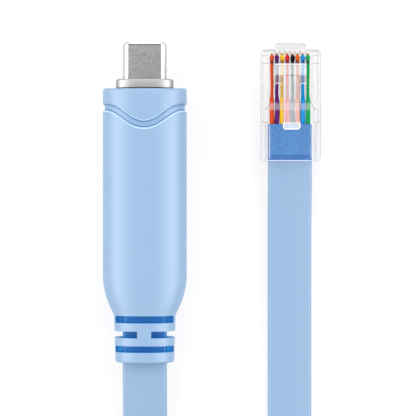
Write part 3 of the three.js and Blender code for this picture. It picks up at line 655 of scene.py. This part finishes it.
# Contact blades of the modular plug: gold-plated bronze, pushed down through the wires'
# insulation when the plug is crimped.
blades = [
    smooth_copy(f"contact_blade_{number}", f"blade_{number}", gold, "lead", 0.05 * mm)
    for number in range(1, 9)
]

# Body of the modular plug: clear polycarbonate, moulded in one shot with its latch.
clear, clear_shader, clear_tree = new_material("clear", Roughness=0.06, IOR=1.58)
clear_wave = noise_into(clear_tree, None, 420, 0, 1)
add_bump(clear_tree, clear_shader, clear_wave, 0.05, 0.05 * mm)


def see_through(tree, stops):
    """How much light a clear piece stops, by how far it turns away. It casts a faint shadow."""
    angle = tree.nodes.new("ShaderNodeLayerWeight")
    angle.inputs["Blend"].default_value = 0.5
    stopped = ramped(tree, angle.outputs["Facing"], [(place, (alpha,) * 3) for place, alpha in stops])
    ray = tree.nodes.new("ShaderNodeLightPath")
    shadow_share = joined(tree, "ADD", joined(tree, "MULTIPLY", ray.outputs["Is Shadow Ray"], -0.8), 1)
    return joined(tree, "MULTIPLY", stopped, shadow_share)


# Flat faces and steep walls let light through. The rounded edges between them draw the outline.
PLUG_X = 28.5
PLUG_ACROSS = PLUG_X * mm
CLEAR_STOPS = [(0.0, 0.012), (0.5, 0.05), (0.66, 0.35), (0.88, 0.6), (0.94, 0.08), (1.0, 0.08)]
cloudy = see_through(clear_tree, CLEAR_STOPS)
plug_body = smooth_copy("modular_plug_body", "plug_body", clear, "lead", 0.15 * mm, segments=3)
plug_low, plug_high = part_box("modular_plug_body")
NOSE_REACH = 1.2 * mm
FRONT_REACH = 2.4 * mm
STEP_REACH = (10.1 * mm, 11.5 * mm)
WIRES_HALF = 4.1 * mm
across_wires = within(clear_tree, "X", PLUG_ACROSS - WIRES_HALF, PLUG_ACROSS + WIRES_HALF)
step_reflection = within(clear_tree, "Y", *[plug_low.y + reach for reach in STEP_REACH])
step_reflection = joined(clear_tree, "MULTIPLY", across_wires, step_reflection)
over_nose = within(clear_tree, "Y", plug_high.y - NOSE_REACH, plug_high.y)
over_front = within(clear_tree, "Y", plug_high.y - FRONT_REACH, plug_high.y - NOSE_REACH)
over_front = joined(clear_tree, "SUBTRACT", over_front, across_wires)
over_front = joined(clear_tree, "GREATER_THAN", over_front, 0.5)
# Over the wires at the step the body is cloudier and painted pale: a painted reflection of the shoulder
# inside it. The nose and the front beside the wires are only made cloudier.
for zone, more in ((step_reflection, 0.12), (over_nose, 0.12), (over_front, 0.03)):
    cloudy = joined(clear_tree, "ADD", cloudy, joined(clear_tree, "MULTIPLY", zone, more))
clear_tree.links.new(cloudy, clear_shader.inputs["Alpha"])
clear_tree.links.new(
    mixed(clear_tree, step_reflection, (0.16, 0.17, 0.22), (0.8, 0.8, 0.82)), clear_shader.inputs["Base Color"]
)

# Steps and ribs that the mould leaves inside the clear body, on both sides of the wires and of the jacket's
# pocket. They show as thin grey lines.
# Among them are bars of painted light: amber ones are painted refractions of the wires' and blades'
# colours, grey ones between the wires painted dark refractions of the blades, and a pale one across the
# rear a painted highlight on the body's rear edge.
def bar(bm, start, end, width, low, high):
    """Adds a thin upright bar between two points in plan, measured in millimetres on the plug."""
    a, b = [Vector((PLUG_ACROSS + x * mm, plug_low.y + y * mm, 0)) for x, y in (start, end)]
    place = Matrix.Translation((a + b) / 2 + Vector((0, 0, (low + high) / 2 * mm)))
    turn = Matrix.Rotation(math.atan2(b.y - a.y, b.x - a.x), 4, "Z")
    sizes = Matrix.Diagonal(((b - a).length, width * mm, (high - low) * mm, 1))
    bmesh.ops.create_cube(bm, size=1, matrix=place @ turn @ sizes)


# Each line's two ends, its width and the height of its foot, on the right half of the plug.
MOULDED_LINES = [
    ((5.74, 0.5), (5.74, 21.3), 0.09, 7.3), ((4.6, 0.12), (5.4, 0.12), 0.09, 7.3),
    ((3.0, 21.74), (5.4, 21.74), 0.09, 5.6),
    ((4.2, 20.7), (5.62, 20.7), 0.16, 6.0), ((4.2, 19.2), (5.62, 19.2), 0.1, 6.0),
    ((5.36, 11.7), (5.36, 20.6), 0.09, 5.8), ((4.2, 12.0), (4.2, 20.6), 0.08, 5.8),
    ((3.95, 11.9), (4.5, 10.3), 0.1, 5.8), ((4.5, 10.2), (5.3, 10.2), 0.1, 7.2),
    ((4.4, 7.8), (4.4, 10.2), 0.08, 7.2), ((5.3, 7.8), (5.3, 10.2), 0.08, 7.2),
    ((4.95, 0.3), (4.95, 7.4), 0.1, 7.2), ((4.62, 0.3), (4.62, 7.4), 0.08, 7.2),
]
grey_bars = bmesh.new()
painted_glint_bars = bmesh.new()
pale_bars = bmesh.new()
# A painted highlight: a pale bar along the body's rear edge.
bar(pale_bars, (-4.4, 0.16), (4.4, 0.16), 0.2, 7.6, 7.8)
for side in (-1, 1):
    for (x, y), (to_x, to_y), width, low in MOULDED_LINES:
        bar(grey_bars, (side * x, y), (side * to_x, to_y), width, low, low + 0.3)
    bar(pale_bars, (side * 5.5, 0.6), (side * 5.5, 21.0), 0.16, 6.0, 6.3)
    bar(pale_bars, (side * 4.12, 0.5), (side * 4.12, 7.0), 0.14, 6.6, 6.9)
    # Amber bars near the rear and beside the step: painted refractions of the wires' colours.
    bar(painted_glint_bars, (side * 4.35, 7.65), (side * 5.65, 7.65), 0.13, 7.2, 7.5)
    bar(painted_glint_bars, (side * 4.5, 10.35), (side * 4.75, 10.35), 0.2, 5.8, 6.1)
# Between the wires: amber bars are painted glints of the blades seen through the body, grey ones painted
# dark refractions of the blades.
for gap in range(-3, 4):
    bar(painted_glint_bars, (gap, 21.1), (gap, 21.75), 0.22, 4.2, 4.4)
    bar(grey_bars, (gap, 18.8), (gap, 20.6), 0.16, 4.2, 4.4)
    bar(grey_bars, (gap, 12.8), (gap, 15.0), 0.13, 4.2, 4.4)
for tint, bars, colour, faint, strong in (
    ("grey", grey_bars, (0.22, 0.25, 0.36), 0.2, 0.42),
    ("amber", painted_glint_bars, (0.4, 0.2, 0.06), 0.25, 0.6),
    ("pale", pale_bars, (0.8, 0.82, 0.86), 0.3, 0.55),
):
    line_material, line_shader, line_tree = new_material(f"{tint}_line", Roughness=0.3)
    line_shader.inputs["Base Color"].default_value = (*colour, 1)
    noise_into(line_tree, line_shader.inputs["Alpha"], 700, faint, strong)
    line = make_piece(f"{tint}_ribs", bars, line_material, "lead")

# Latch: the plug's springy lever. Its root bends when it is pressed, and its rear is textured.
frosted, frosted_shader, frosted_tree = new_material("frosted", Roughness=0.25, IOR=1.58)
frosted_grain = noise_into(frosted_tree, None, 3000, 0, 1)
add_bump(frosted_tree, frosted_shader, frosted_grain, 0.1, 0.02 * mm)
angle = frosted_tree.nodes.new("ShaderNodeLayerWeight")
angle.inputs["Blend"].default_value = 0.5
milky = joined(frosted_tree, "MULTIPLY", joined(frosted_tree, "POWER", angle.outputs["Facing"], 2), 0.6)
milky = joined(frosted_tree, "ADD", milky, 0.08)
latch_low, latch_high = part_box("plug_latch")
latch_middle = (latch_low.x + latch_high.x) / 2
ROOT_HALF = 3.1 * mm
LEVER_HALF = 1.65 * mm
LEVER_REACH = 10.6
TIP_HALF = 2 * mm
TIP_REACH = 1.35


def latch_zone(half_width, start, stop):
    """A stretch of the latch: its half width, and where it starts and stops, in mm from the tip."""
    return joined(
        frosted_tree, "MULTIPLY",
        within(frosted_tree, "X", latch_middle - half_width, latch_middle + half_width),
        within(frosted_tree, "Y", latch_low.y + start * mm, latch_low.y + stop * mm),
    )


def outside(zone, inner):
    """The part of a stretch of the latch that lies outside another one."""
    rest = joined(frosted_tree, "SUBTRACT", zone, inner)
    return joined(frosted_tree, "MAXIMUM", rest, 0)


# The frosting is milkier on the root, on the lever and its tip, and along their edges. The lever's
# edge and the band behind the root are painted brownish: painted refraction of the wires' colours, which
# they bend together.
lever_zone = latch_zone(LEVER_HALF + 0.1 * mm, 0, LEVER_REACH)
lever_inside = latch_zone(LEVER_HALF - 0.13 * mm, 0, LEVER_REACH)
lever_edge = outside(lever_zone, lever_inside)
shoulder_line = outside(latch_zone(ROOT_HALF, 8.97, 9.17), lever_zone)
root_band = outside(latch_zone(ROOT_HALF, 9.17, LEVER_REACH), lever_inside)
tip_zone = latch_zone(TIP_HALF, 0, TIP_REACH)
tip_edge = outside(tip_zone, latch_zone(1.52 * mm, 0.24, 1.26))
milky_zones = [
    (latch_zone(ROOT_HALF, 12.86, 13.02), 0.5),
    (latch_zone(ROOT_HALF, 10.85, 12.75), 0.17),
    (shoulder_line, 0.55),
    (lever_zone, 0.13),
    (tip_zone, 0.12),
    (tip_edge, 0.34),
    (lever_edge, 0.4),
    (root_band, 0.1),
]
for zone, more in milky_zones:
    milky = joined(frosted_tree, "ADD", milky, joined(frosted_tree, "MULTIPLY", zone, more))
frosted_tree.links.new(joined(frosted_tree, "MINIMUM", milky, 0.95), frosted_shader.inputs["Alpha"])
painted_refraction_lines = joined(frosted_tree, "MAXIMUM", lever_edge, root_band)
frosted_colour = mixed(frosted_tree, painted_refraction_lines, (0.83, 0.87, 0.89), (0.3, 0.22, 0.21))
frosted_colour = mixed(frosted_tree, tip_edge, frosted_colour, (0.9, 0.9, 0.9))
frosted_tree.links.new(frosted_colour, frosted_shader.inputs["Base Color"])
latch = smooth_copy("plug_latch", "latch_lever", frosted, "latch", 0.12 * mm, segments=2)

# Flat cable: eight cores side by side in a pale blue jacket. It is moulded into the adapter,
# wound into a hank that stands on edge, and crimped into the modular plug.
CABLE_WIDTH = 8.6 * mm
CABLE_THICKNESS = 2.5 * mm
CABLE_EDGE = 0.6 * mm
CABLE_SEGMENTS = 28
STEPS_A_POINT = 3
HANK_TURNS = 4.5
LANE_PITCH = 3.1 * mm
HANK_INNER_RADIUS = 17.6 * mm
HANK_ACROSS = 22 * mm
HANK_TOP = -103.7 * mm
HANK_STRAIGHT = 82 * mm
LIFT = 0.6 * mm
HANK_BOTTOM = (HANK_TOP - HANK_STRAIGHT) / mm
ADAPTER_LEAD = [
    (0, -21.68, 3.95, 0), (0, -27, 3.95, 0), (0, -31.28, 3.95, 0), (0, -36, 3.5, 0), (0, -42, 2.1, 0),
    (0, -48, 0.75, 0), (0, -54, 0.15, 1), (0, -60, 0.1, 6), (-0.4, -66, 0.1, 20), (-1.4, -72, 0.1, 38),
    (-3.1, -78, 0.15, 56), (-5.1, -84, 0.25, 72), (-7.1, -90, 0.4, 84), (-8.7, -96, 0.55, 90),
]
PLUG_LEAD = [
    (39.4, HANK_BOTTOM + 7, 0.6, 90), (38.7, HANK_BOTTOM + 15, 0.6, 90), (37.4, HANK_BOTTOM + 23, 0.5, 90),
    (35.6, HANK_BOTTOM + 31, 0.6, 88), (33.6, HANK_BOTTOM + 39, 0.9, 82), (31.7, HANK_BOTTOM + 47, 1.5, 70),
    (30.1, HANK_BOTTOM + 55, 2.7, 53), (29.1, HANK_BOTTOM + 63, 4.4, 34),
    (PLUG_X, HANK_BOTTOM + 71, 6.4, 16), (28.25, HANK_BOTTOM + 79, 8.2, 4),
]
# From here the lead lies flat and runs straight over the hank, down to the floor and into the plug.
STRAIGHT_LEAD = [
    (-97, 9.4), (-91, 9.7), (-82, 9.75), (-74, 9.6), (-67, 7.9), (-60, 4.8), (-53, 1.9), (-46, 0.45),
    (-38, 0.1), (-24, 0.1), (-12, 0.1), (-4, 0.5), (2.5, 1.6), (7.9, 2.05), (15.3, 2.05),
]
PLUG_LEAD += [(PLUG_X, y, lowest, 0) for y, lowest in STRAIGHT_LEAD]


def lead_points(rows):
    """Middle and tilt of a stretch, from its places, the height of its lowest edge and its tilt."""
    points = []
    for x, y, lowest, tilt in rows:
        turn = math.radians(tilt)
        half = (CABLE_WIDTH * math.sin(turn) + CABLE_THICKNESS * math.cos(turn)) / 2
        points.append((Vector((x * mm, y * mm, lowest * mm + half)), turn))
    return points


def winding_point(turns):
    """A point of the wound cable, which moves one lane inwards in each turn."""
    lap = int(turns)
    quarter = min(int((turns - lap) * 4), 3)
    share = (turns - lap) * 4 - quarter
    easing = share * share * (3 - 2 * share) if quarter % 2 == 0 else 0
    outermost = HANK_INNER_RADIUS + HANK_TURNS * LANE_PITCH
    radius = outermost - LANE_PITCH / 2 * (2 * lap + math.ceil(quarter / 2) + easing)
    lower = HANK_TOP - HANK_STRAIGHT
    height = LIFT + CABLE_WIDTH / 2
    if quarter == 0:
        return Vector((HANK_ACROSS - radius, HANK_TOP - HANK_STRAIGHT * share, height))
    if quarter == 2:
        return Vector((HANK_ACROSS + radius, lower + HANK_STRAIGHT * share, height))
    turn = math.pi * share + (math.pi if quarter == 1 else 0)
    end = lower if quarter == 1 else HANK_TOP
    return Vector((HANK_ACROSS + radius * math.cos(turn), end + radius * math.sin(turn), height))


POINTS_PER_TURN = 48
turn_points = [
    (winding_point(step / POINTS_PER_TURN), math.pi / 2)
    for step in range(int(HANK_TURNS * POINTS_PER_TURN))
]
last_point = (winding_point(HANK_TURNS - 1e-9), math.pi / 2)
route = lead_points(ADAPTER_LEAD) + turn_points + [last_point] + lead_points(PLUG_LEAD)


def spline_value(t, p, q, r, s):
    """A value on the smooth curve through four values, between the middle two."""
    bend = 2 * p - 5 * q + 4 * r - s
    return 0.5 * (2 * q + (r - p) * t + bend * t * t + (3 * q - p - 3 * r + s) * t ** 3)


def ribbon(points, width, thickness, edge, segments, steps):
    """A flat strip along a line, as rings. Its turn about the line is given at each point."""
    count = len(points)
    centres, turns = [], []
    for at in range(count - 1):
        a, b, c, d = [points[max(0, min(count - 1, at + shift))] for shift in (-1, 0, 1, 2)]
        for step in range(steps):
            t = step / steps
            centres.append(Vector([spline_value(t, *values) for values in zip(a[0], b[0], c[0], d[0])]))
            turns.append(b[1] + (c[1] - b[1]) * (t * t * (3 - 2 * t)))
    centres.append(points[-1][0])
    turns.append(points[-1][1])
    rings = []
    for at, (centre, turn) in enumerate(zip(centres, turns)):
        along = (centres[min(at + 1, len(centres) - 1)] - centres[max(at - 1, 0)]).normalized()
        level = Vector((along.y, -along.x, 0)).normalized()
        across = Matrix.Rotation(turn, 3, along) @ level
        up = along.cross(across)
        outline = rounded_ring(width, thickness, edge, 0, 0)

        def ring(around, centre=centre, across=across, up=up):
            x, _, z = outline(around)
            return centre + across * x - up * z

        rings.append(ring)
    return loft(rings, segments), centres


JACKET_IN_PLUG = (7.95 * mm, 20 * mm)
JACKET_REAR_SHADE = (8.3 * mm, 9.3 * mm)
JACKET_IN_RELIEF = (-31.2 * mm, -20 * mm)
jacket, jacket_shader, jacket_tree = new_material("jacket", Roughness=0.4)
jacket_shader.inputs["Specular IOR Level"].default_value = 0.9
# Out in the open it is pale, and in the strain relief's slots it is painted a deep blue: painted shade,
# standing in for the dim bluish light there.
# Inside the clear plug, where it is squeezed against the plastic, it is darker and mottled.
mottle = noise_into(jacket_tree, None, 2600, 0, 1, detail=6, stretch=(1, 0.6, 1))
squeezed = mixed(jacket_tree, mottle, (0.0, 0.085, 0.33), (0.1, 0.31, 0.63))
beside_plug = within(jacket_tree, "X", PLUG_ACROSS - CABLE_WIDTH, PLUG_ACROSS + CABLE_WIDTH)
beside_adapter = within(jacket_tree, "X", -CABLE_WIDTH, CABLE_WIDTH)
in_plug = joined(jacket_tree, "MULTIPLY", beside_plug, within(jacket_tree, "Y", *JACKET_IN_PLUG))
# Where the jacket shows in the strain relief's slots it is painted with shade.
painted_relief_shade = joined(jacket_tree, "MULTIPLY", beside_adapter, within(jacket_tree, "Y", *JACKET_IN_RELIEF))
# Just inside the plug's rear edge the jacket gets a band of painted shade, where the body's rear edge
# shades it.
rear_edge_shade = joined(jacket_tree, "MULTIPLY", in_plug, within(jacket_tree, "Y", *JACKET_REAR_SHADE))
jacket_colour = mixed(jacket_tree, in_plug, (0.203, 0.322, 0.485), squeezed)
jacket_colour = mixed(jacket_tree, rear_edge_shade, jacket_colour, (0.02, 0.13, 0.4))
jacket_colour = mixed(jacket_tree, painted_relief_shade, jacket_colour, (0.0, 0.21, 0.55))
jacket_tree.links.new(jacket_colour, jacket_shader.inputs["Base Color"])
jacket_grain = noise_into(jacket_tree, jacket_shader.inputs["Roughness"], 1800, 0.4, 0.52)
add_bump(jacket_tree, jacket_shader, jacket_grain, 0.15, 0.02 * mm)
cable_mesh, cable_line = ribbon(
    route, CABLE_WIDTH, CABLE_THICKNESS, CABLE_EDGE, CABLE_SEGMENTS, STEPS_A_POINT
)
cable = make_piece("flat_cable", cable_mesh, jacket, "lead")
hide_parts("cable_adapter_lead", "cable_hank", "cable_plug_lead")

# Ties: black hook-and-loop tape wrapped around both sides of the hank, over its own end.
tie_black, tie_shader, tie_tree = new_material("tie_black", Roughness=0.95)
tie_loops = noise_into(tie_tree, tie_shader.inputs["Roughness"], 2200, 0.85, 1.0)
tie_colour = mixed(tie_tree, tie_loops, (0.004, 0.004, 0.005), (0.035, 0.035, 0.038))
tie_tree.links.new(tie_colour, tie_shader.inputs["Base Color"])
add_bump(tie_tree, tie_shader, tie_loops, 0.8, 0.15 * mm)
LAP_THICKNESS = 0.6 * mm
LAP_SUNK = 0.1 * mm
LAP_INSET = 0.3 * mm
LAP_SHARE = 0.62
LAP_CORNER = 1.2 * mm
for side, outward in (("left", -1), ("right", 1)):
    tie_low, tie_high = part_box(f"hank_tie_{side}")
    lap_root = (tie_low.x if outward < 0 else tie_high.x) - outward * LAP_CORNER
    lap_end = lap_root - outward * LAP_SHARE * (tie_high.x - tie_low.x)

    def add_lap(bm, low=tie_low, high=tie_high, ends=(lap_root, lap_end)):
        """Lays the tape's own end over the top of the tie, its corners cut round."""
        across = (low.y + LAP_INSET, high.y - LAP_INSET)
        corners = cutter_box(bm, sorted(ends), across, (high.z - LAP_SUNK, high.z + LAP_THICKNESS))
        upright = [
            edge for vert in corners for edge in vert.link_edges
            if edge.other_vert(vert).co.z - vert.co.z > LAP_THICKNESS
        ]
        bmesh.ops.bevel(
            bm, geom=upright, offset=LAP_CORNER, segments=6, profile=0.5, affect="EDGES", material=-1
        )

    name = f"tie_{side}"
    smooth_copy(f"hank_{name}", name, tie_black, "lead", 0.15 * mm, added=add_lap)
sum((b - a).length for a, b in zip(cable_line, cable_line[1:]))
[tuple(point) for point in cable_line]
